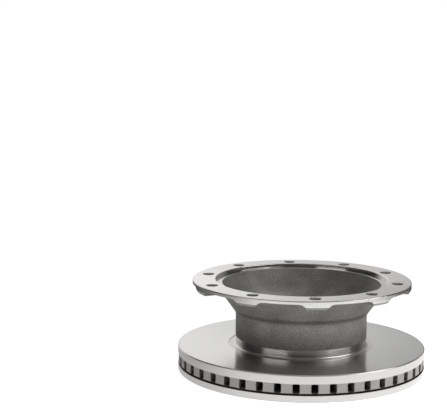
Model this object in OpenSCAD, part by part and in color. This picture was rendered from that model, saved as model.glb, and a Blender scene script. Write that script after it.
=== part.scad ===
// Ventilated brake disc of a heavy commercial vehicle: one iron casting, turned and drilled.
// The axis of rotation is Z. The back friction face lies on Z = 0 and the flange is at the top.
// All sizes are in millimetres.

/* [Friction ring] */
// Outer diameter of the friction ring
ring_d = 430; // [400:1:450]
// Thickness of the friction ring over both faces
ring_t = 45; // [40:0.5:50]
// Thickness of each cheek
cheek_t = 14.7; // [12:0.1:17]
// Width of the turned relief between the neck's root and the upper friction face
relief_w = 8.9; // [4:0.1:20]
// Depth of that relief
relief_depth = 0.8; // [0.4:0.1:2]
// Chamfer on the two outer edges of the ring
ring_chamfer = 1.5; // [0.5:0.1:3]
// How far the back cheek's bore lies outside the neck's wall
back_bore_margin = 4.5; // [2:0.5:8]
// Chamfer where the back cheek's bore meets its friction face
back_bore_chamfer = 3.5; // [1:0.1:4]
// Rounding of the back cheek's bore edge inside the vent gap
back_bore_round = 2; // [1:0.1:4]

/* [Vents] */
// Number of radial vents
vent_count = 45; // [36:1:50]
// Width of each vent, the same along its whole length
vent_w = 11.2; // [8:0.1:13]
// Land left above and below each vent, between it and the cheek
vent_land = 0.4; // [0.2:0.1:2]
// Corner radius of each vent
vent_corner_r = 2.6; // [1:0.1:4]
// Angle of the first vent from the first bolt hole, in degrees
vent_phase = -1.5; // [-4:0.1:4]
// Radial distance from the back cheek's bore to the vanes, at the annular inlet
vane_start = 5; // [3:0.5:12]
// Depth by which the cast vane ends stand back from the turned rim
vane_setback = 0.8; // [0.3:0.1:2]
// Height of the groove at the foot of the vane ends
foot_groove_h = 3.2; // [1.5:0.1:4]
// Depth of that groove from the rim
foot_groove_depth = 5; // [1:0.1:8]

/* [Neck] */
// Diameter of the bore turned inside the neck
neck_bore_d = 209; // [190:0.5:225]
// Length of that turned bore
neck_bore_l = 24; // [10:0.5:30]
// Thickness of the neck's wall outside the turned bore
neck_wall = 10; // [7:0.5:15]
// Depth of the band turned at the neck's root
root_step = 0.9; // [0.3:0.1:2]
// Height of that band above the friction face
root_h = 14.5; // [8:0.5:20]
// Fillet between the turned band and the relief
root_fillet = 4; // [2:0.1:5]
// How far the as-cast bore above the turned one stands in from it
cast_bore_step = 1; // [0.3:0.1:3]
// How far the as-cast mouth below it, where air enters the vents, stands out from it
mouth_step = 3; // [1:0.1:5]
// Rounding of the mouth's lower edge
mouth_round = 3; // [1:0.1:4]
// Radius where the cast bore opens into the inner cone
throat_r = 30; // [15:1:40]
// Half angle of the inner cone, from the axis
inner_cone_angle = 38; // [33:0.5:42]

/* [Flare] */
// Width of the cone's wall where it meets the flange
cone_foot_w = 13.6; // [10:0.1:18]
// Radius of the bend from neck to flare
flare_r = 16; // [8:1:24]
// Half angle of the outer cone, from the axis
flare_angle = 36; // [30:0.5:38]
// Fillet between the outer cone and the flange
flare_fillet = 7; // [3:0.5:9]

/* [Flange] */
// Overall height from the back friction face to the flange face
total_h = 159; // [154:0.5:165]
// Radial distance from the bolt circle to the flange's edge
flange_edge = 22.5; // [18:0.5:30]
// Thickness of the flange between its bosses
flange_t = 6; // [5:0.1:9]
// Chamfer on the outer edge of the flange face
flange_chamfer = 1.2; // [0.4:0.1:2]
// Radial distance from the bolt circle to the centring bore
spigot_land = 17.5; // [14:0.5:25]
// Depth of the centring bore
spigot_depth = 6; // [4:0.1:8]
// Lead-in chamfer of the centring bore
spigot_chamfer = 1; // [0.3:0.1:2]
// Width of the turned ledge below the centring bore
ledge_w = 12; // [6:0.5:18]
// Chamfer on the ledge's inner edge
ledge_chamfer = 0.8; // [0.3:0.1:2]

/* [Bolt bosses] */
// Number of bolt holes, each with its own boss
bolt_count = 10; // [8:1:12]
// Pitch circle diameter of the bolt holes
pitch_circle_d = 335; // [310:0.5:360]
// Diameter of each bolt hole
bolt_hole_d = 18; // [14:0.5:19]
// Chamfer of each bolt hole at the flange face
bolt_chamfer = 2; // [0.5:0.1:2.5]
// Chamfer of each bolt hole at the boss seat
seat_chamfer = 1; // [0.3:0.1:2]
// Height of each boss below the thin flange
boss_h = 8.5; // [6:0.5:10]
// Width of the flat seat of each boss
boss_seat_w = 28; // [26:0.5:32]
// Radius of the fillet where a boss runs out into the flange
boss_fillet = 11; // [6:0.5:12]
// Rounding of the boss's lower edges
boss_round = 3; // [1:0.5:4]

/* [Hidden] */
$fn = 180;

// Steps in each fillet of a profile
arc_steps = 8;
// How far a cutting tool runs past the face that it cuts
past = 1;

// Friction ring
ring_r = ring_d / 2;
upper_cheek_z = ring_t - cheek_t;
relief_z = ring_t - relief_depth;
vent_h = upper_cheek_z - cheek_t - 2 * vent_land;
vane_end_r = ring_r - vane_setback;

// Neck, from its bore outwards
neck_bore_r = neck_bore_d / 2;
cast_bore_r = neck_bore_r - cast_bore_step;
mouth_r = neck_bore_r + mouth_step;
neck_r = neck_bore_r + neck_wall;
root_r = neck_r - root_step;
root_top_z = ring_t + root_h;
neck_bore_bottom = ring_t + mouth_step;
neck_bore_top = neck_bore_bottom + neck_bore_l;

// What lies around the neck on the ring
face_inner_r = root_r + root_fillet + relief_w;
back_bore_r = neck_r + back_bore_margin;
vane_inner_r = back_bore_r + vane_start;

// Flange, from its bolt circle outwards and inwards
bolt_circle_r = pitch_circle_d / 2;
flange_r = bolt_circle_r + flange_edge;
flange_bottom = total_h - flange_t;
seat_z = flange_bottom - boss_h;
spigot_r = bolt_circle_r - spigot_land;
ledge_r = spigot_r - ledge_w;
ledge_z = total_h - spigot_depth;
cone_top_z = ledge_z - ledge_chamfer;

// Start and end of the bend from neck to flare, so that the cone ends at its foot on the flange
bend_r = neck_r + flare_r * (1 - cos(flare_angle));
bend_z = cone_top_z - (ledge_r + cone_foot_w - bend_r) / tan(flare_angle);
flare_start = bend_z - flare_r * sin(flare_angle);

// Centre of the fillet between the cone and the flange's underside
under_z = flange_bottom - flare_fillet;
under_r = bend_r + (under_z - bend_z) * tan(flare_angle) + flare_fillet / cos(flare_angle);

// Height at which the cast bore begins to open, so that the inner cone ends at the ledge
throat_rise = throat_r * (1 - cos(inner_cone_angle));
throat_z = cone_top_z - (ledge_r - cast_bore_r - throat_rise) / tan(inner_cone_angle)
    - throat_r * sin(inner_cone_angle);

// Points on a circular arc from angle a0 to angle a1
function arc(cx, cy, r, a0, a1) =
    [for (i = [0:arc_steps]) let (a = a0 + (a1 - a0) * i / arc_steps) [cx + r * cos(a), cy + r * sin(a)]];

// Outside of the two cheeks as one disc, before the bores and the vents are made
module ring_blank() {
    rotate_extrude()
        polygon([
            [0, 0],
            [ring_r - ring_chamfer, 0],
            [ring_r, ring_chamfer],
            [ring_r, ring_t - ring_chamfer],
            [ring_r - ring_chamfer, ring_t],
            [face_inner_r, ring_t],
            [face_inner_r, relief_z],
            [0, relief_z],
        ]);
}

// Outside of the neck: turned root, cast wall, bend, cone and the fillet under the flange
module neck_blank() {
    rotate_extrude()
        polygon(concat(
            [[0, upper_cheek_z], [root_r + root_fillet, upper_cheek_z]],
            arc(root_r + root_fillet, relief_z + root_fillet, root_fillet, 270, 180),
            [[root_r, root_top_z - root_step], [neck_r, root_top_z]],
            arc(neck_r + flare_r, flare_start, flare_r, 180, 180 - flare_angle),
            arc(under_r, under_z, flare_fillet, 180 - flare_angle, 90),
            [[under_r, flange_bottom + flange_t / 2], [0, flange_bottom + flange_t / 2]]
        ));
}

// The flange as a plain disc with a chamfered edge
module flange_blank() {
    rotate_extrude()
        polygon([
            [0, flange_bottom],
            [flange_r, flange_bottom],
            [flange_r, total_h - flange_chamfer],
            [flange_r - flange_chamfer, total_h],
            [0, total_h],
        ]);
}

// Right half of a boss seen along its radius: flat seat, rounded edge, slope and run-out fillet
function boss_half() =
    let (
        slope = 45,
        round_x = boss_seat_w / 2,
        foot_x = round_x + boss_round * sin(slope) + boss_fillet * sin(slope)
            + (boss_h - (boss_round + boss_fillet) * (1 - cos(slope))) / tan(slope)
    )
    concat(
        arc(round_x, -boss_h + boss_round, boss_round, 270, 270 + slope),
        arc(foot_x, -boss_fillet, boss_fillet, 90 + slope, 90)
    );

// Bosses under the flange, one at each bolt hole, turned flush with the flange's edge
module bosses() {
    half = boss_half();
    other = [for (i = [len(half) - 1:-1:0]) [-half[i][0], half[i][1]]];
    top = flange_t / 2;
    inner_r = cast_bore_r + throat_r;
    intersection() {
        translate([0, 0, seat_z - past]) cylinder(r = flange_r, h = total_h - seat_z);
        for (k = [0:bolt_count - 1])
            rotate([0, 0, k * 360 / bolt_count])
                translate([inner_r, 0, flange_bottom])
                    rotate([90, 0, 90])
                        linear_extrude(flange_r - inner_r + past)
                            polygon(concat(
                                half,
                                [[half[len(half) - 1][0], top], [other[0][0], top]],
                                other
                            ));
    }
}

// Everything that is open inside: centring bore, ledge, cone, neck bore, mouth, vent inlet, back bore
module core() {
    rotate_extrude()
        polygon(concat(
            [
                [0, total_h + past],
                [spigot_r + spigot_chamfer + past, total_h + past],
                [spigot_r, total_h - spigot_chamfer],
                [spigot_r, ledge_z],
                [ledge_r + ledge_chamfer, ledge_z],
                [ledge_r, cone_top_z],
            ],
            arc(cast_bore_r + throat_r, throat_z, throat_r, 180 - inner_cone_angle, 180),
            [
                [cast_bore_r, neck_bore_top],
                [neck_bore_r, neck_bore_top],
                [neck_bore_r, neck_bore_bottom],
                [mouth_r, neck_bore_bottom - mouth_step],
            ],
            arc(mouth_r + mouth_round, upper_cheek_z + mouth_round, mouth_round, 180, 270),
            [[vane_inner_r, upper_cheek_z], [vane_inner_r, cheek_t]],
            arc(back_bore_r + back_bore_round, cheek_t - back_bore_round, back_bore_round, 90, 180),
            [
                [back_bore_r, back_bore_chamfer],
                [back_bore_r + back_bore_chamfer + past, -past],
                [0, -past],
            ]
        ));
}

// Section of one vent: a rectangle with rounded corners
module vent_section() {
    x = vent_w / 2 - vent_corner_r;
    y = vent_h / 2 - vent_corner_r;
    square([2 * x, vent_h], center = true);
    square([vent_w, 2 * y], center = true);
    for (i = [-1, 1], j = [-1, 1])
        translate([i * x, j * y]) circle(r = vent_corner_r, $fn = 32);
}

// Straight radial vents of constant width, which leave wedge-shaped vanes between them
module vents() {
    start = vane_inner_r - vane_setback - past;
    for (k = [0:vent_count - 1])
        rotate([0, 0, vent_phase + k * 360 / vent_count])
            translate([start, 0, ring_t / 2])
                rotate([90, 0, 90])
                    linear_extrude(ring_r - start + past) vent_section();
}

// Turning at the rim: the cast vane ends stand back, with a groove along their foot
module rim_cuts() {
    rotate_extrude()
        polygon([
            [vane_end_r, upper_cheek_z],
            [vane_end_r, cheek_t],
            [ring_r - foot_groove_depth, cheek_t],
            [ring_r - foot_groove_depth, cheek_t - foot_groove_h],
            [ring_r + past, cheek_t - foot_groove_h],
            [ring_r + past, upper_cheek_z],
        ]);
}

// Drilled bolt holes, chamfered at the flange face and at the boss seat
module bolt_holes() {
    r = bolt_hole_d / 2;
    for (k = [0:bolt_count - 1])
        rotate([0, 0, k * 360 / bolt_count])
            translate([bolt_circle_r, 0, 0])
                rotate_extrude($fn = 48)
                    polygon([
                        [0, total_h + past],
                        [r + bolt_chamfer + past, total_h + past],
                        [r, total_h - bolt_chamfer],
                        [r, seat_z + seat_chamfer],
                        [r + seat_chamfer + past, seat_z - past],
                        [0, seat_z - past],
                    ]);
}

module brake_disc() {
    color([0.74, 0.74, 0.72])
        difference() {
            union() {
                ring_blank();
                neck_blank();
                flange_blank();
                bosses();
            }
            core();
            vents();
            rim_cuts();
            bolt_holes();
        }
}

brake_disc();
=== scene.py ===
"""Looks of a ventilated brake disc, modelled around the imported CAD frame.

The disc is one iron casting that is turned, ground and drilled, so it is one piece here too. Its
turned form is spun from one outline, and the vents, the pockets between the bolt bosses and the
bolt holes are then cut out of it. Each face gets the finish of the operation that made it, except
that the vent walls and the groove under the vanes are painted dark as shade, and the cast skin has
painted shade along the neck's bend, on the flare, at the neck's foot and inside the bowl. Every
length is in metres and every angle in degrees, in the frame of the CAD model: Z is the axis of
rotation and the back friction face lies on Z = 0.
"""

import logging
import math
from dataclasses import dataclass, field
from enum import Enum

import bpy
from bpy.types import Material, NodeOutputs, NodeTree, Object
from bpy.types import NodeSocket as Socket
from mathutils import Matrix, Vector

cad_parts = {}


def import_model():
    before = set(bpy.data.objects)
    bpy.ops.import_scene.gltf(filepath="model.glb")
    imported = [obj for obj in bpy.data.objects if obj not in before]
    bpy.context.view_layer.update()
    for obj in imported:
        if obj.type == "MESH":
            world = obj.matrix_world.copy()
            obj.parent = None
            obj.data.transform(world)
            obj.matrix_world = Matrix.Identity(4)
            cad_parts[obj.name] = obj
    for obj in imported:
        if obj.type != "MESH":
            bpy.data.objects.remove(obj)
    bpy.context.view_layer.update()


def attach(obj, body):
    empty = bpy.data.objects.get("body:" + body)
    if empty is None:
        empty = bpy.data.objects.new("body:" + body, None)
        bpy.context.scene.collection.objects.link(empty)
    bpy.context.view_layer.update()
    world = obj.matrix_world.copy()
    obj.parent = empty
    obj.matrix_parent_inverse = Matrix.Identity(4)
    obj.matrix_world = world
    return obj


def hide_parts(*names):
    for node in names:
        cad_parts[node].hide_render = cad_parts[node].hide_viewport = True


log = logging.getLogger("brake_disc")

MM = 0.001
FULL_TURN = 360.0
TURN_STEPS = 360
# Vertices that are nearer to each other than this become one.
WELD = 0.002 * MM
# A corner is rounded in so many steps, where it turns by more degrees than LEAST_TURN and the lines
# beside it are longer than LEAST_SIDE widths of the rounding. The others belong to a curve.
CORNER_STEPS = 2
LEAST_TURN = 25.0
LEAST_SIDE = 2.2
NODE = "brake_disc"

Point = tuple[float, float]
Outline = list[Point]
Span = tuple[float, float]
Colour = tuple[float, float, float]


class Finish(Enum):
    """Finishes of the casting's faces, in the order of the piece's material slots."""

    GROUND = 0
    TURNED = 1
    CAST = 2
    DRILLED = 3
    VANE_END = 4
    BLASTED = 5
    # Near-black painted shade in the groove under the vanes.
    GROOVE = 6
    FINE = 7
    FACED = 8
    # Dark painted shade on the walls inside the vents.
    VENT = 9
    BORED = 10


def arc(centre: Point, radius: float, start: float, end: float, steps: int = 8) -> Outline:
    """Lays points along a circular arc of an outline.

    Args:
        centre: Radius and height of the arc's centre.
        radius: Radius of the arc.
        start: Angle of the first point.
        end: Angle of the last point.
        steps: Number of straight steps in the arc.

    Returns:
        The arc's points, from start to end.
    """
    angles = [math.radians(start + (end - start) * i / steps) for i in range(steps + 1)]
    return [(centre[0] + radius * math.cos(a), centre[1] + radius * math.sin(a)) for a in angles]


def deselect() -> None:
    """Leaves nothing selected, so that an operator touches only what is chosen next."""
    bpy.ops.object.select_all(action="DESELECT")


def take(obj: Object) -> None:
    """Makes one object the only selected and the active one.

    Args:
        obj: The object.
    """
    deselect()
    obj.select_set(True)
    bpy.context.view_layer.objects.active = obj


def open_mesh(obj: Object) -> None:
    """Opens an object's mesh in edit mode, with all of it selected.

    Args:
        obj: The object.
    """
    take(obj)
    bpy.ops.object.mode_set(mode="EDIT")
    bpy.ops.mesh.select_all(action="SELECT")


def close_mesh() -> None:
    """Turns every face of the open mesh outwards and leaves edit mode."""
    bpy.ops.mesh.select_all(action="SELECT")
    bpy.ops.mesh.normals_make_consistent(inside=False)
    bpy.ops.object.mode_set(mode="OBJECT")


def wire(name: str, points: Outline) -> Object:
    """Draws a closed outline in the XZ plane, starting from a circle of as many vertices.

    Args:
        name: Name of the new object.
        points: Radius and height of each corner, in order.

    Returns:
        The object that holds the outline, with no faces.
    """
    deselect()
    bpy.ops.mesh.primitive_circle_add(vertices=len(points), radius=1.0)
    obj = bpy.context.object
    obj.name = obj.data.name = name
    for vertex, (r, z) in zip(obj.data.vertices, points):
        vertex.co = Vector((r, 0.0, z))
    return obj


def break_corners(obj: Object, width: float) -> None:
    """Rounds the sharp corners of an outline a little, as a file or a lathe tool leaves them.

    Args:
        obj: The outline.
        width: Distance from each corner at which its rounding starts.
    """
    take(obj)
    verts = obj.data.vertices
    count = len(verts)
    sharp = []
    for i, vertex in enumerate(verts):
        before = vertex.co - verts[i - 1].co
        after = verts[(i + 1) % count].co - vertex.co
        long_enough = min(before.length, after.length) > LEAST_SIDE * width
        if long_enough and math.degrees(before.angle(after)) > LEAST_TURN:
            sharp.append(i)
    bpy.ops.object.mode_set(mode="EDIT")
    bpy.ops.mesh.select_mode(type="VERT")
    bpy.ops.mesh.select_all(action="DESELECT")
    bpy.ops.object.mode_set(mode="OBJECT")
    for i in sharp:
        verts[i].select = True
    bpy.ops.object.mode_set(mode="EDIT")
    bpy.ops.mesh.bevel(offset=width, segments=CORNER_STEPS, affect="VERTICES")
    bpy.ops.object.mode_set(mode="OBJECT")


def spin(obj: Object, steps: int) -> None:
    """Turns an outline once around the Z axis and closes it.

    Args:
        obj: The outline, which becomes the solid.
        steps: Number of steps around the axis.
    """
    open_mesh(obj)
    middle, up = (0.0, 0.0, 0.0), (0.0, 0.0, 1.0)
    bpy.ops.mesh.spin(steps=steps, angle=2.0 * math.pi, center=middle, axis=up)
    bpy.ops.mesh.select_all(action="SELECT")
    bpy.ops.mesh.remove_doubles(threshold=WELD)
    close_mesh()


def around(obj: Object, count: int, first: float) -> Object:
    """Copies a form evenly around the Z axis and joins the copies.

    Args:
        obj: The form, modelled along +X. It becomes the first copy.
        count: Number of copies, the first one included.
        first: Angle of the first copy.

    Returns:
        One object that holds every copy, with its place in its mesh.
    """
    copies = [obj]
    for _ in range(count - 1):
        copy = obj.copy()
        copy.data = obj.data.copy()
        bpy.context.collection.objects.link(copy)
        copies.append(copy)
    for k, copy in enumerate(copies):
        turn = math.radians(first + k * FULL_TURN / count)
        copy.data.transform(Matrix.Rotation(turn, 4, "Z"))
    take(obj)
    for copy in copies:
        copy.select_set(True)
    bpy.ops.object.join()
    return bpy.context.object


def cut(obj: Object, tool: Object) -> None:
    """Cuts one form out of another and throws the tool away.

    Args:
        obj: The form that is cut.
        tool: The closed form that is taken out of it.
    """
    take(obj)
    modifier = obj.modifiers.new("cut", "BOOLEAN")
    modifier.operation = "DIFFERENCE"
    modifier.solver = "EXACT"
    modifier.object = tool
    bpy.ops.object.modifier_apply(modifier=modifier.name)
    bpy.data.objects.remove(tool)


@dataclass
class FrictionRing:
    """The two cheeks that the pads run on, and the vents between them."""

    outer_r: float = 215.0 * MM
    thickness: float = 45.0 * MM
    cheek: float = 14.7 * MM
    chamfer: float = 1.5 * MM
    face_inner_r: float = 126.5 * MM
    relief: float = 0.8 * MM
    back_bore_r: float = 119.0 * MM
    back_chamfer: float = 3.5 * MM
    back_round: float = 2.0 * MM
    vane_inner_r: float = 124.0 * MM
    vane_setback: float = 0.8 * MM
    groove_h: float = 3.2 * MM
    groove_depth: float = 5.0 * MM
    vents: int = 45
    vent_w: float = 11.2 * MM
    vent_h: float = 14.8 * MM
    vent_corner: float = 2.6 * MM
    vent_corner_steps: int = 4
    vent_lip: float = 0.6 * MM
    first_vent: float = -1.5
    tool_before: float = 2.0 * MM
    tool_past: float = 3.0 * MM

    @property
    def upper_cheek_z(self) -> float:
        """Height of the upper cheek's underside."""
        return self.thickness - self.cheek

    def rim_outline(self) -> Outline:
        """Lays out the ring's outside.

        Returns:
            Points from the back bore's chamfer out and up to the relief around the neck.
        """
        r, t = self.outer_r, self.thickness
        vane_r = r - self.vane_setback
        return [
            (self.back_bore_r + self.back_chamfer, 0.0),
            (r - self.chamfer, 0.0),
            (r, self.chamfer),
            (r, self.cheek - self.groove_h),
            (r - self.groove_depth, self.cheek - self.groove_h),
            (r - self.groove_depth, self.cheek),
            (vane_r, self.cheek),
            (vane_r, self.upper_cheek_z),
            (r, self.upper_cheek_z),
            (r, t - self.chamfer),
            (r - self.chamfer, t),
            (self.face_inner_r, t),
            (self.face_inner_r, t - self.relief),
        ]

    def inlet_outline(self) -> Outline:
        """Lays out the ring's inside.

        Returns:
            Points from the upper cheek's underside down the annular inlet to the back bore.
        """
        turn = (self.back_bore_r + self.back_round, self.cheek - self.back_round)
        return [
            (self.vane_inner_r, self.upper_cheek_z),
            (self.vane_inner_r, self.cheek),
            *arc(turn, self.back_round, 90, 180),
            (self.back_bore_r, self.back_chamfer),
        ]

    def vent_tool(self) -> Object:
        """Models one vent as a rounded bar that opens into a small lip, and copies it around.

        Returns:
            The bars of all vents as one object.
        """
        start = self.vane_inner_r - self.tool_before
        lip_start = self.outer_r - self.vane_setback - self.vent_lip
        deselect()
        bpy.ops.mesh.primitive_plane_add(size=1.0, rotation=(0.0, math.pi / 2, 0.0))
        bar = bpy.context.object
        bar.name = "vent_tool"
        bpy.ops.object.transform_apply(rotation=True)
        bar.data.transform(Matrix.Diagonal((1.0, self.vent_w, self.vent_h, 1.0)))
        bar.data.transform(Matrix.Translation((start, 0.0, self.thickness / 2)))
        open_mesh(bar)
        steps = self.vent_corner_steps
        bpy.ops.mesh.bevel(offset=self.vent_corner, segments=steps, affect="VERTICES")
        bpy.ops.mesh.select_all(action="SELECT")
        self._draw_out(lip_start - start, 0.0)
        self._draw_out(self.vent_lip, self.vent_lip)
        self._draw_out(self.tool_past, 0.0)
        close_mesh()
        return around(bar, self.vents, self.first_vent)

    def _draw_out(self, length: float, widen: float) -> None:
        """Extrudes the selected end of the bar outwards and widens it all around.

        Args:
            length: Distance along the radius.
            widen: Distance by which the section grows on each side.
        """
        bpy.ops.mesh.extrude_region_move(TRANSFORM_OT_translate={"value": (length, 0.0, 0.0)})
        if widen:
            scale = (1.0, 1.0 + 2 * widen / self.vent_w, 1.0 + 2 * widen / self.vent_h)
            middle = (0.0, 0.0, self.thickness / 2)
            bpy.ops.transform.resize(value=scale, center_override=middle)


@dataclass
class Neck:
    """The wall between the ring and the flange: turned root, cast cylinder, bend and cone."""

    outer_r: float = 114.5 * MM
    root_r: float = 113.6 * MM
    root_h: float = 14.5 * MM
    root_fillet: float = 4.0 * MM
    turned_bore_r: float = 104.5 * MM
    turned_bore_l: float = 24.0 * MM
    cast_bore_r: float = 103.5 * MM
    mouth_r: float = 107.5 * MM
    mouth_round: float = 3.0 * MM
    throat_r: float = 30.0 * MM
    throat_steps: int = 16
    inner_cone: float = 38.0
    flare_z: float = 96.0 * MM
    flare_r: float = 16.0 * MM
    outer_cone: float = 36.0
    flange_fillet: float = 7.0 * MM

    def bend(self) -> Point:
        """Finds where the bend ends and the outer cone begins.

        Returns:
            Radius and height of that place.
        """
        a = math.radians(self.outer_cone)
        rise = self.flare_r * math.sin(a)
        return self.outer_r + self.flare_r * (1 - math.cos(a)), self.flare_z + rise

    def cone_r(self, z: float) -> float:
        """Radius of the outer cone at a height."""
        r, z0 = self.bend()
        return r + (z - z0) * math.tan(math.radians(self.outer_cone))

    def under_arc(self, ceiling: float, fillet: float) -> Outline:
        """Fillet between the outer cone and a flat ceiling above it.

        Args:
            ceiling: Height of the ceiling.
            fillet: Radius of the fillet.

        Returns:
            The fillet's points, from the cone to the ceiling.
        """
        z = ceiling - fillet
        r = self.cone_r(z) + fillet / math.cos(math.radians(self.outer_cone))
        return arc((r, z), fillet, 180 - self.outer_cone, 90)

    def outer_outline(self, ring: FrictionRing) -> Outline:
        """Lays out the neck's outside.

        Args:
            ring: The ring that the neck stands on, in the relief of its face.

        Returns:
            Points from the root fillet to the end of the bend.
        """
        foot = (self.root_r + self.root_fillet, ring.thickness - ring.relief + self.root_fillet)
        bend = (self.outer_r + self.flare_r, self.flare_z)
        top = ring.thickness + self.root_h
        return [
            *arc(foot, self.root_fillet, 270, 180),
            (self.root_r, top - (self.outer_r - self.root_r)),
            (self.outer_r, top),
            *arc(bend, self.flare_r, 180, 180 - self.outer_cone),
        ]

    def inner_outline(self, ledge: Point, ring: FrictionRing) -> Outline:
        """Lays out the neck's inside.

        Args:
            ledge: Radius and height of the cone's upper end.
            ring: The ring under the neck, whose cheek the mouth goes through.

        Returns:
            Points from the ledge down the cone and the bores to the mouth's lower edge.
        """
        a = math.radians(self.inner_cone)
        run = ledge[0] - self.cast_bore_r - self.throat_r * (1 - math.cos(a))
        throat_z = ledge[1] - run / math.tan(a) - self.throat_r * math.sin(a)
        throat = (self.cast_bore_r + self.throat_r, throat_z)
        mouth = (self.mouth_r + self.mouth_round, ring.upper_cheek_z + self.mouth_round)
        step = self.mouth_r - self.turned_bore_r
        bottom = ring.thickness + step
        return [
            ledge,
            *arc(throat, self.throat_r, 180 - self.inner_cone, 180, self.throat_steps),
            (self.cast_bore_r, bottom + self.turned_bore_l),
            (self.turned_bore_r, bottom + self.turned_bore_l),
            (self.turned_bore_r, bottom),
            (self.mouth_r, bottom - step),
            *arc(mouth, self.mouth_round, 180, 270),
        ]


@dataclass
class BoltFlange:
    """The thin flange that bolts to the hub, with a boss under each bolt hole."""

    outer_r: float = 190.0 * MM
    face_z: float = 159.0 * MM
    thickness: float = 6.0 * MM
    chamfer: float = 1.2 * MM
    under_chamfer: float = 0.5 * MM
    spigot_r: float = 150.0 * MM
    spigot_depth: float = 6.0 * MM
    spigot_chamfer: float = 1.0 * MM
    ledge_r: float = 138.0 * MM
    ledge_chamfer: float = 0.8 * MM
    bolts: int = 10
    bolt_circle_r: float = 167.5 * MM
    hole_r: float = 9.0 * MM
    hole_chamfer: float = 2.0 * MM
    seat_chamfer: float = 1.0 * MM
    boss_h: float = 8.5 * MM
    seat_w: float = 28.0 * MM
    boss_fillet: float = 11.0 * MM
    boss_round: float = 3.0 * MM
    boss_steps: tuple[int, int] = (5, 10)
    boss_edge: Point = (2.5 * MM, 4.5 * MM)
    flank: float = 45.0
    pocket_past: float = 3.0 * MM
    bar_z: Span = (-20.0 * MM, 6.0 * MM)
    bar_before: float = 25.0 * MM
    bar_past: float = 12.0 * MM
    drill_past: float = 1.0 * MM
    drill_steps: int = 48

    @property
    def under_z(self) -> float:
        """Height of the thin flange's underside."""
        return self.face_z - self.thickness

    @property
    def seat_z(self) -> float:
        """Height of the bosses' flat seats."""
        return self.under_z - self.boss_h

    def outline(self) -> Outline:
        """Lays out the flange's outside, as thick as its bosses.

        Returns:
            Points from the seat up and in to the ledge.
        """
        ledge_z = self.face_z - self.spigot_depth
        return [
            (self.outer_r - self.boss_edge[0], self.seat_z),
            (self.outer_r, self.seat_z + self.boss_edge[1]),
            (self.outer_r, self.face_z - self.chamfer),
            (self.outer_r - self.chamfer, self.face_z),
            (self.spigot_r + self.spigot_chamfer, self.face_z),
            (self.spigot_r, self.face_z - self.spigot_chamfer),
            (self.spigot_r, ledge_z),
            (self.ledge_r + self.ledge_chamfer, ledge_z),
        ]

    def ledge_end(self) -> Point:
        """Radius and height where the ledge's chamfer meets the inner cone."""
        return self.ledge_r, self.face_z - self.spigot_depth - self.ledge_chamfer

    def boss_half(self) -> Outline:
        """Right half of a boss seen along its radius: flat seat, rounded edge, slope, fillet.

        Returns:
            Points as distance from the boss's middle and height above the flange's underside.
        """
        a = math.radians(self.flank)
        foot = self.seat_w / 2 + (self.boss_round + self.boss_fillet) * math.sin(a)
        rise = self.boss_h - (self.boss_round + self.boss_fillet) * (1 - math.cos(a))
        foot += rise / math.tan(a)
        edge = (self.seat_w / 2, self.boss_round - self.boss_h)
        edge_steps, fillet_steps = self.boss_steps
        return [
            *arc(edge, self.boss_round, 270, 270 + self.flank, edge_steps),
            *arc((foot, -self.boss_fillet), self.boss_fillet, 90 + self.flank, 90, fillet_steps),
        ]

    def pocket_tool(self, neck: Neck) -> Object:
        """Models what is cast away between the bosses: a ring under the flange less boss bars.

        Args:
            neck: The neck, whose cone the pockets run down to.

        Returns:
            The pockets as one closed form.
        """
        edge, past_r = self.under_chamfer, self.outer_r + self.pocket_past
        floor_z = self.seat_z - self.pocket_past
        # The roof rises at the rim, so that it leaves a chamfer on the thin flange's lower edge.
        outline = [
            (past_r, floor_z),
            (past_r, self.under_z + edge * 4),
            (self.outer_r + edge * 2, self.under_z + edge * 3),
            (self.outer_r - edge, self.under_z),
            *reversed(neck.under_arc(self.under_z, neck.flange_fillet)),
            (neck.cone_r(floor_z), floor_z),
        ]
        pockets = wire("pocket_tool", outline)
        spin(pockets, TURN_STEPS)
        cut(pockets, self._boss_bars(neck))
        return pockets

    def _boss_bars(self, neck: Neck) -> Object:
        """Models a boss as a bar along its radius that runs past the rim, and copies it around.

        Args:
            neck: The neck, whose cone the bars start inside.

        Returns:
            The bars of all bosses as one object.
        """
        half = self.boss_half()
        below, above = self.bar_z
        section = [
            (-half[0][0], below), (half[0][0], below), *half, (half[-1][0], above),
            (-half[-1][0], above), *[(-x, z) for x, z in reversed(half)],
        ]
        inner = neck.cone_r(self.seat_z) - self.bar_before
        bar = wire("boss_bar", section)
        for vertex in bar.data.vertices:
            vertex.co = Vector((inner, vertex.co.x, self.under_z + vertex.co.z))
        open_mesh(bar)
        bpy.ops.mesh.edge_face_add()
        reach = self.outer_r + self.bar_past - inner
        bpy.ops.mesh.extrude_region_move(TRANSFORM_OT_translate={"value": (reach, 0.0, 0.0)})
        close_mesh()
        return around(bar, self.bolts, 0.0)

    def bolt_tool(self) -> Object:
        """Models one bolt hole with its two chamfers as a spun drill, and copies it around.

        Returns:
            The drills of all holes as one object.
        """
        past = self.drill_past
        drill = wire("bolt_tool", [
            (0.0, self.face_z + past),
            (self.hole_r + self.hole_chamfer + past, self.face_z + past),
            (self.hole_r, self.face_z - self.hole_chamfer),
            (self.hole_r, self.seat_z + self.seat_chamfer),
            (self.hole_r + self.seat_chamfer + past, self.seat_z - past),
            (0.0, self.seat_z - past),
        ])
        spin(drill, self.drill_steps)
        drill.data.transform(Matrix.Translation((self.bolt_circle_r, 0.0, 0.0)))
        return around(drill, self.bolts, 0.0)


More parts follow.
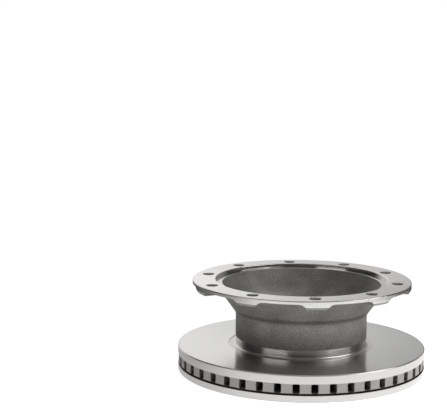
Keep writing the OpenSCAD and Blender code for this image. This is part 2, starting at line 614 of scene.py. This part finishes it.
@dataclass
class DiscCasting:
    """The whole disc: one spun form, cut by the vents, the pockets and the bolt holes.

    A face's rise is the Z part of its normal: 1 on a level face and 0 on an upright one. A hair is
    what a face's middle may lie beside the edge of the region that tells its finish.
    """

    ring: FrictionRing = field(default_factory=FrictionRing)
    neck: Neck = field(default_factory=Neck)
    flange: BoltFlange = field(default_factory=BoltFlange)
    broken_edge: float = 0.35 * MM
    seat_fillet: float = 3.0 * MM
    smooth_below: float = 28.0
    hair: float = 0.05 * MM
    wall: float = 1.0 * MM
    bore_past: Point = (3.5 * MM, 4.0 * MM)
    mouth_past: float = 7.0 * MM
    face_past: float = 4.0 * MM
    level_rise: float = 0.99
    slope_rise: Span = (0.5, 0.9)
    rim_rise: float = 0.4

    def outline(self) -> Outline:
        """Lays out the section of the spun form.

        Returns:
            Points once around, from the back bore over the ring and the flange.
        """
        return [
            *self.ring.rim_outline(),
            *self.neck.outer_outline(self.ring),
            *self.neck.under_arc(self.flange.seat_z, self.seat_fillet),
            *self.flange.outline(),
            *self.neck.inner_outline(self.flange.ledge_end(), self.ring),
            *self.ring.inlet_outline(),
        ]

    def build(self) -> Object:
        """Models the casting.

        Returns:
            The finished form, still without its finishes.
        """
        disc = wire("brake_disc_casting", self.outline())
        break_corners(disc, self.broken_edge)
        spin(disc, TURN_STEPS)
        pockets = self.flange.pocket_tool(self.neck)
        for tool in (pockets, self.ring.vent_tool(), self.flange.bolt_tool()):
            cut(disc, tool)
            log.info("casting cut, %d faces", len(disc.data.polygons))
        self._smooth(disc)
        return disc

    def _smooth(self, disc: Object) -> None:
        """Shades curved faces smooth, keeps edges between operations sharp and flat faces flat.

        Args:
            disc: The piece.
        """
        take(disc)
        bpy.ops.object.shade_smooth_by_angle(angle=math.radians(self.smooth_below))
        modifier = disc.modifiers.new("flat_faces", "WEIGHTED_NORMAL")
        modifier.keep_sharp = True
        bpy.ops.object.modifier_apply(modifier=modifier.name)

    def finish_at(self, centre: Vector, normal: Vector) -> Finish:
        """Tells which operation made a face.

        Args:
            centre: Middle of the face.
            normal: Direction in which the face looks.

        Returns:
            The finish of that face.
        """
        r, z = math.hypot(centre.x, centre.y), centre.z
        if self._in_bolt_hole(centre, normal.z):
            return Finish.DRILLED
        if z > self.flange.seat_z - self.hair:
            return self._flange_finish(r, z, normal.z)
        if z > self.ring.thickness + self.hair:
            return self._neck_finish(r, z)
        return self._ring_finish(r, z, normal.z)

    def _flange_finish(self, r: float, z: float, rise: float) -> Finish:
        """Tells the finish of a face of the flange, its bosses or the cone between them.

        Args:
            r: Distance from the axis.
            z: Height.
            rise: The face's rise.

        Returns:
            The finish of that face.
        """
        flange, hair = self.flange, self.hair
        rim = r > flange.outer_r - flange.chamfer - hair
        if r < flange.spigot_r + hair and z > flange.ledge_end()[1]:
            return Finish.BORED
        if rim and self.slope_rise[0] < rise < self.slope_rise[1]:
            return Finish.BORED
        if (rim and abs(rise) < self.rim_rise) or z > flange.face_z - flange.chamfer - hair:
            return Finish.FACED
        return Finish.BLASTED if r > self.neck.cone_r(z) - hair else Finish.CAST

    def _neck_finish(self, r: float, z: float) -> Finish:
        """Tells the finish of a face of the neck: finely turned at its root and in its bore.

        Args:
            r: Distance from the axis.
            z: Height.

        Returns:
            The finish of that face.
        """
        neck, up = self.neck, z - self.ring.thickness
        root = r > neck.turned_bore_r + self.wall and up < neck.root_h
        past_r, past_z = self.bore_past
        bore = r < neck.turned_bore_r + past_r and up < neck.turned_bore_l + past_z
        return Finish.FINE if root or (bore and r > neck.cast_bore_r + self.hair) else Finish.CAST

    def _ring_finish(self, r: float, z: float, rise: float) -> Finish:
        """Tells the finish of a face of the friction ring.

        Args:
            r: Distance from the axis.
            z: Height.
            rise: The face's rise.

        Returns:
            The finish of that face.
        """
        ring, hair = self.ring, self.hair
        on_face = z > ring.thickness - hair or z < hair
        if abs(rise) > self.level_rise and r > ring.face_inner_r - self.face_past and on_face:
            return Finish.GROUND
        # The groove's faces take a near-black colour that paints the shade in it.
        in_groove = ring.cheek - ring.groove_h - hair < z < ring.cheek + hair
        if in_groove and ring.vane_inner_r < r < ring.outer_r - hair:
            return Finish.GROOVE
        if z > ring.upper_cheek_z + hair or z < ring.cheek - hair:
            mouth = r < self.neck.turned_bore_r + self.mouth_past and z > ring.cheek
            return Finish.CAST if mouth else Finish.TURNED
        if r > ring.outer_r - ring.vane_setback - 2 * hair and abs(rise) < self.slope_rise[0]:
            return Finish.VANE_END
        # Vent walls take a dark colour that paints the shade inside the vents.
        return Finish.VENT if r > ring.vane_inner_r - hair else Finish.CAST

    def _in_bolt_hole(self, centre: Vector, rise: float) -> bool:
        """Tells whether a face belongs to the wall or a chamfer of a bolt hole.

        Args:
            centre: Middle of the face.
            rise: The face's rise.

        Returns:
            True inside a hole.
        """
        flange = self.flange
        if centre.z < flange.seat_z or abs(rise) > self.slope_rise[1]:
            return False
        step = 2 * math.pi / flange.bolts
        a = round(math.atan2(centre.y, centre.x) / step) * step
        x, y = flange.bolt_circle_r * math.cos(a), flange.bolt_circle_r * math.sin(a)
        return math.hypot(centre.x - x, centre.y - y) < flange.hole_r + flange.hole_chamfer

    def dress(self, disc: Object, finishes: dict[Finish, Material]) -> None:
        """Puts each finish in its slot and gives every face the one of its operation.

        Args:
            disc: The piece.
            finishes: Material of each finish.
        """
        disc.data.materials.clear()
        for finish in Finish:
            disc.data.materials.append(finishes[finish])
        for face in disc.data.polygons:
            face.material_index = self.finish_at(face.center, face.normal).value


class Sheet:
    """Short ways to place and join nodes on one material, world or group.

    A value that goes in is a constant or a socket. What comes out is the result's socket, or all
    outputs of the node.
    """

    def __init__(self, tree: NodeTree) -> None:
        """Starts from an empty tree."""
        self.tree = tree
        tree.nodes.clear()

    @classmethod
    def of_material(cls, name: str) -> tuple[Material, "Sheet"]:
        """Makes a material.

        Args:
            name: Name of the material.

        Returns:
            The material and its sheet.
        """
        material = bpy.data.materials.new(name)
        material.use_nodes = True
        return material, cls(material.node_tree)

    @classmethod
    def of_group(
        cls, name: str, inputs: dict[str, float], outputs: tuple[str, ...]
    ) -> tuple["Sheet", NodeOutputs]:
        """Makes a group of nodes with named sockets.

        Args:
            name: Name of the group.
            inputs: Each input's name and usual value.
            outputs: Names of the outputs.

        Returns:
            The group's sheet and, as sockets to link from, its inputs.
        """
        group = bpy.data.node_groups.new(name, "ShaderNodeTree")
        kind = "NodeSocketFloat"
        for socket, value in inputs.items():
            item = group.interface.new_socket(name=socket, in_out="INPUT", socket_type=kind)
            item.default_value = value
        for socket in outputs:
            group.interface.new_socket(name=socket, in_out="OUTPUT", socket_type=kind)
        sheet = cls(group)
        return sheet, sheet.add("NodeGroupInput")

    def add(
        self, kind: str, values: dict[str | int, object] | None = None, **settings: object
    ) -> NodeOutputs:
        """Adds a node.

        Args:
            kind: The node's type.
            values: What goes into its inputs, by their names or numbers.
            settings: Its options.

        Returns:
            The node's outputs.
        """
        node = self.tree.nodes.new(kind)
        for name, value in settings.items():
            setattr(node, name, value)
        for key, value in (values or {}).items():
            if isinstance(value, Socket):
                self.tree.links.new(value, node.inputs[key])
            else:
                node.inputs[key].default_value = value
        return node.outputs

    def shade(self, values: dict[str, object]) -> None:
        """Gives the material a Principled shader with these values in its inputs."""
        shader = self.add("ShaderNodeBsdfPrincipled", values)
        self.add("ShaderNodeOutputMaterial", {"Surface": shader[0]})

    def math(self, operation: str, *values: object) -> Socket:
        """Calculates with values."""
        return self.add("ShaderNodeMath", dict(enumerate(values)), operation=operation)[0]

    def remap(
        self, value: Socket, ends: Span, span: Span = (0.0, 1.0), way: str = "LINEAR"
    ) -> Socket:
        """Turns a value between the ends of one span into one between the ends of another.

        Args:
            value: The value.
            ends: Results at the ends of the span.
            span: Values at its ends.
            way: Name of the interpolation.

        Returns:
            The result.
        """
        names = ("From Min", "From Max", "To Min", "To Max")
        values = {"Value": value, **dict(zip(names, (*span, *ends)))}
        return self.add("ShaderNodeMapRange", values, interpolation_type=way)[0]

    def blend(self, value: Socket, span: Span, ends: Span = (0.0, 1.0)) -> Socket:
        """Changes a value softly from one end of a span to the other, as remap does evenly."""
        return self.remap(value, ends, span, "SMOOTHSTEP")

    def mix(self, share: Socket, first: object, second: object) -> Socket:
        """Mixes two values, by the share of the second."""
        values = {0: share, 2: first, 3: second}
        return self.add("ShaderNodeMix", values, data_type="FLOAT")[0]

    def scaled(self, vector: object, factor: Socket) -> Socket:
        """Multiplies a vector or a colour by a factor."""
        values = {0: vector, "Scale": factor}
        return self.add("ShaderNodeVectorMath", values, operation="SCALE")[0]

    def split(self, vector: Socket) -> NodeOutputs:
        """Takes a vector apart."""
        return self.add("ShaderNodeSeparateXYZ", {0: vector})

    def radius(self, split: NodeOutputs) -> Socket:
        """Measures how far a vector that was taken apart leads from the Z axis."""
        squares = [self.math("MULTIPLY", *[split[axis]] * 2) for axis in ("X", "Y")]
        return self.math("SQRT", self.math("ADD", *squares))

    def along(self, split: NodeOutputs, bearing: float) -> Socket:
        """Measures how far a vector leads along a level bearing.

        Args:
            split: The vector, taken apart.
            bearing: The bearing, as an angle from +X.

        Returns:
            The vector's part along the bearing.
        """
        turn = math.radians(bearing)
        x = self.math("MULTIPLY", split["X"], math.cos(turn))
        return self.math("ADD", x, self.math("MULTIPLY", split["Y"], math.sin(turn)))

    def noise(self, vector: Socket, detail: float) -> Socket:
        """Reads a noise of one feature per unit, with some layers of finer detail."""
        values = {"Vector": vector, "Scale": 1.0, "Detail": detail}
        return self.add("ShaderNodeTexNoise", values)["Fac"]

    def bump(self, height: Socket, strength: float, depth: float) -> Socket:
        """Tilts the surface by a height from 0 to 1, where 1 stands for the depth."""
        values = {"Height": height, "Strength": strength, "Distance": depth}
        return self.add("ShaderNodeBump", values)[0]

    def white_rays(self) -> Socket:
        """Tells rays that see the room at its full brightness: the camera's, gloss and glass.

        Returns:
            1 for these rays, 0 for others.
        """
        path = self.add("ShaderNodeLightPath")
        seen = self.math("ADD", path["Is Camera Ray"], path["Is Glossy Ray"])
        through = self.math("ADD", seen, path["Is Transmission Ray"])
        return self.math("MINIMUM", through, 1.0)


@dataclass(frozen=True)
class ToolMarks:
    """Fine lines that a tool or a grinding wheel leaves around the axis."""

    name: str = "tool_marks"
    lines: float = 1500.0
    patches: float = 12.0
    drift: float = 6.0
    detail: float = 3.0

    def group(self) -> NodeTree:
        """Builds lines of one pitch that drift around the axis, from Object coordinates.

        Returns:
            The group, which puts out the lines and broad patches.
        """
        usual = {"Lines per metre": self.lines, "Patches per metre": self.patches}
        sheet, enter = Sheet.of_group(self.name, usual, ("Lines", "Patches"))
        place = sheet.add("ShaderNodeTexCoord")["Object"]
        split = sheet.split(place)
        travel = sheet.math("ADD", sheet.radius(split), split["Z"])
        along = sheet.add("ShaderNodeCombineXYZ", {
            "X": sheet.math("MULTIPLY", travel, enter["Lines per metre"]),
            "Y": sheet.math("MULTIPLY", split["X"], self.drift),
            "Z": sheet.math("MULTIPLY", split["Y"], self.drift),
        })
        patches = sheet.scaled(place, enter["Patches per metre"])
        sheet.add("NodeGroupOutput", {
            "Lines": sheet.noise(along[0], self.detail),
            "Patches": sheet.noise(patches, self.detail),
        })
        return sheet.tree


@dataclass(frozen=True)
class SandSkinAndShade:
    """Sand-mould skin on iron, fine grain over shallow broader unevenness, plus painted shade."""

    name: str = "sand_skin_and_shade"
    grains: float = 420.0
    grain_detail: float = 4.0
    speck_scale: float = 0.7
    clouds: float = 25.0
    cloud_detail: float = 3.0
    # Painted shade: darker along the bend, on the flare, towards the neck's foot and in the bowl.
    bend_shade_z: float = 107.5 * MM
    bend_shade_h: float = 8.0 * MM
    wall_r: float = 110.0 * MM
    flare_z: float = 100.0 * MM
    flare_angle: float = 37.0
    foot_z: Span = (58.0 * MM, 95.0 * MM)
    foot_share: float = 0.75
    inside_share: float = 0.63
    inside_z: Span = (104.0 * MM, 132.0 * MM)
    cone_share: float = 0.42
    cone_z: Span = (104.0 * MM, 120.0 * MM)

    def group(self) -> NodeTree:
        """Builds grain, specks, clouds and a painted-shade mask, all from Object coordinates.

        Returns:
            The group, which puts out the four.
        """
        usual = {"Grains per metre": self.grains, "Clouds per metre": self.clouds}
        outputs = ("Grain", "Specks", "Clouds", "Stain")
        sheet, enter = Sheet.of_group(self.name, usual, outputs)
        place = sheet.add("ShaderNodeTexCoord")["Object"]
        fine = sheet.scaled(place, enter["Grains per metre"])
        cells = sheet.add("ShaderNodeTexVoronoi", {"Vector": fine, "Scale": self.speck_scale})
        broad = sheet.scaled(place, enter["Clouds per metre"])
        sheet.add("NodeGroupOutput", {
            "Grain": sheet.noise(fine, self.grain_detail),
            "Specks": cells["Distance"],
            "Clouds": sheet.noise(broad, self.cloud_detail),
            "Stain": self._painted_shade_mask(sheet, sheet.split(place)),
        })
        return sheet.tree

    def _painted_shade_mask(self, sheet: Sheet, split: NodeOutputs) -> Socket:
        """Says where shade is painted on the skin: at the bend, on the flare, at the foot, inside.

        Args:
            sheet: The group's nodes.
            split: Object coordinates, in parts.

        Returns:
            The painted shade's share of its full strength.
        """
        # Painted shade: darker along the bend, on the flare under the flange, at the foot, in the
        # bowl.
        height = split["Z"]
        off = sheet.math("ABSOLUTE", sheet.math("SUBTRACT", height, self.bend_shade_z))
        bend_shade = sheet.blend(off, (0.0, self.bend_shade_h), (1.0, 0.0))
        foot = sheet.blend(height, self.foot_z, (self.foot_share, 0.0))
        cone = sheet.blend(height, self.cone_z, (0.0, self.cone_share))
        skin = sheet.math("MAXIMUM", sheet.math("MAXIMUM", bend_shade, foot), cone)
        inside = sheet.blend(height, self.inside_z, (0.0, self.inside_share))
        above = sheet.math("MAXIMUM", sheet.math("SUBTRACT", height, self.flare_z), 0.0)
        flare = sheet.math("MULTIPLY", above, math.tan(math.radians(self.flare_angle)))
        wall = sheet.math("ADD", flare, self.wall_r)
        outside = sheet.math("GREATER_THAN", sheet.radius(split), wall)
        return sheet.mix(outside, inside, skin)


@dataclass(frozen=True)
class MachinedIron:
    """Iron that a tool has cut or ground bright, with lines around the axis.

    The anisotropy follows the lines, so a reflection is drawn out across them.
    """

    name: str
    colour: Colour
    roughness: float
    anisotropy: float
    lines: float = 1800.0
    line_depth: float = 0.01 * MM
    tone: float = 0.04
    rough_change: float = 0.2
    across: float = 0.25
    bump: float = 0.5

    def material(self, marks: NodeTree) -> Material:
        """Builds the material.

        Args:
            marks: The shared group of tool marks.

        Returns:
            The material.
        """
        material, sheet = Sheet.of_material(self.name)
        tool = sheet.add("ShaderNodeGroup", {"Lines per metre": self.lines}, node_tree=marks)
        lines, change = tool["Lines"], self.rough_change
        rough = (self.roughness * (1.0 - change), self.roughness * (1.0 + change))
        tone = sheet.remap(lines, (1.0 - self.tone, 1.0 + self.tone))
        tangent = sheet.add("ShaderNodeTangent", direction_type="RADIAL", axis="Z")
        sheet.shade({
            "Base Color": sheet.scaled(self.colour, tone),
            "Metallic": 1.0,
            "Roughness": sheet.remap(tool["Patches"], rough),
            "Anisotropic": self.anisotropy,
            "Anisotropic Rotation": self.across,
            "Normal": sheet.bump(lines, self.bump, self.line_depth),
            "Tangent": tangent[0],
        })
        return material


@dataclass(frozen=True)
class CastIron:
    """Iron with the skin that the mould left, and painted shade where the skin's mask asks for it.
    """

    name: str
    colour: Colour
    roughness: float
    metallic: float
    grain_depth: float = 0.4 * MM
    contrast: float = 0.3
    stain: float = 0.0
    grain_share: float = 0.6
    cloud_share: float = 0.4
    speck_share: float = 0.5
    usual: Span = (0.3, 0.7)
    rough_change: float = 0.08
    bump: float = 0.6

    def material(self, skin: NodeTree) -> Material:
        """Builds the material.

        Args:
            skin: The shared group of the sand skin and its painted-shade mask.

        Returns:
            The material.
        """
        material, sheet = Sheet.of_material(self.name)
        sand = sheet.add("ShaderNodeGroup", node_tree=skin)
        grain = sand["Grain"]
        clouds = sheet.math("MULTIPLY", sand["Clouds"], self.cloud_share)
        mixed = sheet.math("ADD", sheet.math("MULTIPLY", grain, self.grain_share), clouds)
        tone = sheet.remap(mixed, (1.0 - self.contrast, 1.0 + self.contrast), self.usual)
        # Painted shade: the colour is darkened by the skin's shade mask.
        dark = sheet.math("MULTIPLY", sand["Stain"], self.stain)
        unshaded = sheet.math("SUBTRACT", 1.0, dark)
        specks = sheet.math("MULTIPLY", sand["Specks"], self.speck_share)
        rough = (self.roughness - self.rough_change, self.roughness + self.rough_change)
        relief = sheet.math("ADD", grain, specks)
        sheet.shade({
            "Base Color": sheet.scaled(self.colour, sheet.math("MULTIPLY", tone, unshaded)),
            "Metallic": self.metallic,
            "Roughness": sheet.remap(grain, rough),
            "Normal": sheet.bump(relief, self.bump, self.grain_depth),
        })
        return material


@dataclass(frozen=True)
class FinishShop:
    """The disc's finishes, each under the name of its Finish."""

    ground: MachinedIron = MachinedIron(
        "ground_iron", (0.65, 0.645, 0.635), roughness=0.16, anisotropy=0.9, lines=2600.0, tone=0.03
    )
    faced: MachinedIron = MachinedIron(
        "faced_iron", (0.76, 0.753, 0.74), roughness=0.24, anisotropy=0.75
    )
    turned: MachinedIron = MachinedIron(
        "turned_iron", (0.61, 0.603, 0.59), roughness=0.3, anisotropy=0.5,
        lines=1500.0, line_depth=0.02 * MM, tone=0.06,
    )
    fine: MachinedIron = MachinedIron(
        "fine_turned_iron", (0.55, 0.545, 0.535), roughness=0.28, anisotropy=0.5
    )
    bored: MachinedIron = MachinedIron(
        "bored_iron", (0.6, 0.594, 0.583), roughness=0.15, anisotropy=0.3
    )
    drilled: MachinedIron = MachinedIron(
        "drilled_iron", (0.45, 0.445, 0.435), roughness=0.15, anisotropy=0.0,
        lines=1200.0, line_depth=0.02 * MM, tone=0.05,
    )
    # The cast skin carries painted shade, darker at the bend, flare, neck foot and inside the bowl.
    cast: CastIron = CastIron(
        "cast_iron", (0.345, 0.331, 0.309), roughness=0.55, metallic=0.3, contrast=0.5, stain=0.5
    )
    vane_end: CastIron = CastIron(
        "vane_end_iron", (0.38, 0.374, 0.364), roughness=0.5, metallic=0.6,
        grain_depth=0.3 * MM, contrast=0.18,
    )
    # Painted shade: near-black, standing for the shade in the groove under the vanes.
    groove: CastIron = CastIron(
        "groove_painted_shade", (0.045, 0.043, 0.04), roughness=0.75, metallic=0.0, grain_depth=0.2 * MM
    )
    # Painted shade: dark, standing for the shade inside the vents.
    vent: CastIron = CastIron("vent_painted_shade", (0.15, 0.144, 0.135), roughness=0.7, metallic=0.1)
    blasted: CastIron = CastIron(
        "blasted_iron", (0.34, 0.334, 0.322), roughness=0.5, metallic=0.5,
        grain_depth=0.15 * MM, contrast=0.14,
    )

    def make(self) -> dict[Finish, Material]:
        """Builds the shared groups and every finish.

        Returns:
            The material of each finish.
        """
        groups = {MachinedIron: ToolMarks().group(), CastIron: SandSkinAndShade().group()}
        irons = {finish: getattr(self, finish.name.lower()) for finish in Finish}
        return {finish: iron.material(groups[type(iron)]) for finish, iron in irons.items()}


@dataclass(frozen=True)
class ProductCamera:
    """The camera of the photograph's lower picture."""

    place: tuple[float, float, float] = (0.36640, -2.05271, 0.56265)
    azimuth: float = 13.893
    elevation: float = 7.614
    roll: float = 0.38
    lens: float = 97.62
    sensor: float = 36.0
    clip: Span = (0.05, 50.0)

    def build(self) -> None:
        """Adds the camera and makes it the scene's."""
        camera = bpy.data.cameras.new("product_camera")
        camera.lens, camera.sensor_width = self.lens, self.sensor
        camera.sensor_fit = "HORIZONTAL"
        camera.clip_start, camera.clip_end = self.clip
        obj = bpy.data.objects.new("product_camera", camera)
        bpy.context.collection.objects.link(obj)
        turn = Matrix.Rotation(math.radians(self.azimuth), 4, "Z")
        tilt = Matrix.Rotation(math.radians(90.0 - self.elevation), 4, "X")
        roll = Matrix.Rotation(math.radians(self.roll), 4, "Z")
        obj.matrix_world = Matrix.Translation(self.place) @ turn @ tilt @ roll
        bpy.context.scene.camera = obj


@dataclass(frozen=True)
class Softbox:
    """One soft lamp of the studio, placed by its bearing from the disc."""

    name: str
    bearing: float
    elevation: float
    width: float
    height: float
    watts: float
    distance: float = 1.7
    aim_z: float = 80.0 * MM

    def build(self, front: float) -> None:
        """Adds the lamp, turned towards the disc.

        Args:
            front: Direction from which the disc is seen, which bearings count from.
        """
        lamp = bpy.data.lights.new(self.name, "AREA")
        lamp.shape, lamp.energy = "RECTANGLE", self.watts
        lamp.size, lamp.size_y = self.width, self.height
        obj = bpy.data.objects.new(self.name, lamp)
        bpy.context.collection.objects.link(obj)
        turn, rise = math.radians(front + self.bearing), math.radians(self.elevation)
        level = math.cos(rise)
        away = Vector((math.cos(turn) * level, math.sin(turn) * level, math.sin(rise)))
        obj.location = away * self.distance + Vector((0.0, 0.0, self.aim_z))
        obj.rotation_euler = away.to_track_quat("Z", "Y").to_euler()


@dataclass(frozen=True)
class Room:
    """Brightness of the studio's walls: white behind the disc, dim in front, grey overhead.

    A turn, an edge or the horizon is a pair of parts of the direction that is looked at, to the
    right, to the back or upwards, between which the brightness changes.
    """

    front: float = -79.9
    wall: float = 1.0
    wall_right: float = 0.36
    wall_turn: Span = (-0.12, 0.2)
    wall_edge: Span = (0.45, 0.8)
    dim_left: float = 0.03
    dim_right: float = 0.06
    dim_turn: Span = (-0.3, 0.3)
    ceiling: float = 0.42
    ceiling_edge: Span = (0.5, 0.9)
    below: float = 0.08
    beneath: float = 0.5
    beneath_edge: Span = (-0.5, -0.25)
    horizon: Span = (-0.06, 0.0)
    fill: float = 0.4

    def tone(self, sheet: Sheet) -> Socket:
        """Builds the room's brightness in the direction that is looked at.

        Args:
            sheet: The world's nodes.

        Returns:
            The brightness.
        """
        split = sheet.split(sheet.add("ShaderNodeTexCoord")["Generated"])
        up = split["Z"]
        back = sheet.along(split, self.front + 180.0)
        right = sheet.along(split, self.front + 90.0)
        walls = sheet.blend(right, self.wall_turn, (self.wall, self.wall_right))
        sides = sheet.blend(right, self.dim_turn, (self.dim_left, self.dim_right))
        level = sheet.mix(sheet.blend(back, self.wall_edge), sides, walls)
        above = sheet.mix(sheet.blend(up, self.ceiling_edge), level, self.ceiling)
        under = sheet.blend(up, self.beneath_edge, (self.beneath, self.below))
        return sheet.mix(sheet.blend(up, self.horizon, (1.0, 0.0)), above, under)


@dataclass(frozen=True)
class Studio:
    """A plain pale table under soft light, against white."""

    room: Room = Room()
    table_r: float = 1.0
    table_steps: int = 96
    table_ahead: float = 0.6
    table_tone: float = 0.85
    table_white: float = 0.95
    table_light: Span = (0.4, 1.0)
    light_bearing: float = 45.0
    light_span: Span = (-0.72, -0.15)
    contact: float = 1.0 * MM
    lamps: tuple[Softbox, ...] = (
        Softbox("left_softbox", -44.0, 18.0, width=1.3, height=0.4, watts=2.2),
        Softbox("middle_softbox", 41.0, 18.0, width=0.8, height=0.4, watts=0.4),
        Softbox("right_softbox", 74.0, 35.0, width=1.4, height=0.85, watts=11.0),
    )

    def build(self) -> None:
        """Adds the table, the world and the lamps."""
        self._table()
        self._world()
        for lamp in self.lamps:
            lamp.build(self.room.front)

    def _table(self) -> None:
        """Adds the table, in front of the disc and under it."""
        deselect()
        turn = math.radians(self.room.front)
        middle = Matrix.Rotation(turn, 3, "Z") @ Vector((self.table_ahead, 0.0, 0.0))
        bpy.ops.mesh.primitive_circle_add(
            vertices=self.table_steps, radius=self.table_r, fill_type="NGON", location=middle
        )
        table = bpy.context.object
        table.name = "studio_table"
        table.data.materials.append(self._table_top())

    def _table_top(self) -> Material:
        """Builds the table's material.

        It glows on the disc more at the left than at the right, is white to the camera but for
        the disc's shadow, and is clear from below and where the disc touches it, so that a view
        from there shows the disc's back.

        Returns:
            The material.
        """
        material, sheet = Sheet.of_material("studio_table")
        split = sheet.split(sheet.add("ShaderNodeTexCoord")["Object"])
        bearing = sheet.along(split, self.room.front + self.light_bearing)
        lit = sheet.blend(bearing, self.light_span, self.table_light)
        path = sheet.add("ShaderNodeLightPath")
        strength = sheet.mix(path["Is Camera Ray"], lit, self.table_white)
        glow = sheet.add("ShaderNodeEmission", {"Strength": strength})
        paint = sheet.add("ShaderNodeBsdfDiffuse", {"Color": (*[self.table_tone] * 3, 1.0)})
        both = sheet.add("ShaderNodeAddShader", {0: paint[0], 1: glow[0]})
        beneath = sheet.add("ShaderNodeNewGeometry")["Backfacing"]
        contact = sheet.math("LESS_THAN", path["Ray Length"], self.contact)
        hidden = sheet.math("MAXIMUM", beneath, contact)
        clear = sheet.add("ShaderNodeBsdfTransparent")[0]
        top = sheet.add("ShaderNodeMixShader", {0: hidden, 1: both[0], 2: clear})
        sheet.add("ShaderNodeOutputMaterial", {"Surface": top[0]})
        return material

    def _world(self) -> None:
        """Makes the world white to the eye and the room's light otherwise."""
        world = bpy.data.worlds.new("studio_world")
        bpy.context.scene.world = world
        world.use_nodes = True
        sheet = Sheet(world.node_tree)
        room = self.room.tone(sheet)
        soft = sheet.math("MULTIPLY", room, self.room.fill)
        lit = sheet.mix(sheet.white_rays(), soft, room)
        camera = sheet.add("ShaderNodeLightPath")["Is Camera Ray"]
        values = {"Color": (1.0, 1.0, 1.0, 1.0), "Strength": sheet.mix(camera, lit, 1.0)}
        back = sheet.add("ShaderNodeBackground", values)
        sheet.add("ShaderNodeOutputWorld", {0: back[0]})


def main() -> None:
    """Loads the frame, builds the disc and the studio, and logs the disc's face count."""
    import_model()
    bpy.context.scene.view_settings.view_transform = "Standard"
    casting = DiscCasting()
    disc = casting.build()
    casting.dress(disc, FinishShop().make())
    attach(disc, "root")
    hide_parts(NODE)
    log.info("%s: %d faces", disc.name, len(disc.data.polygons))
    ProductCamera().build()
    Studio().build()
    bpy.context.view_layer.update()


if __name__ == "__main__":
    logging.basicConfig(level=logging.INFO, format="%(name)s: %(message)s")
    main()
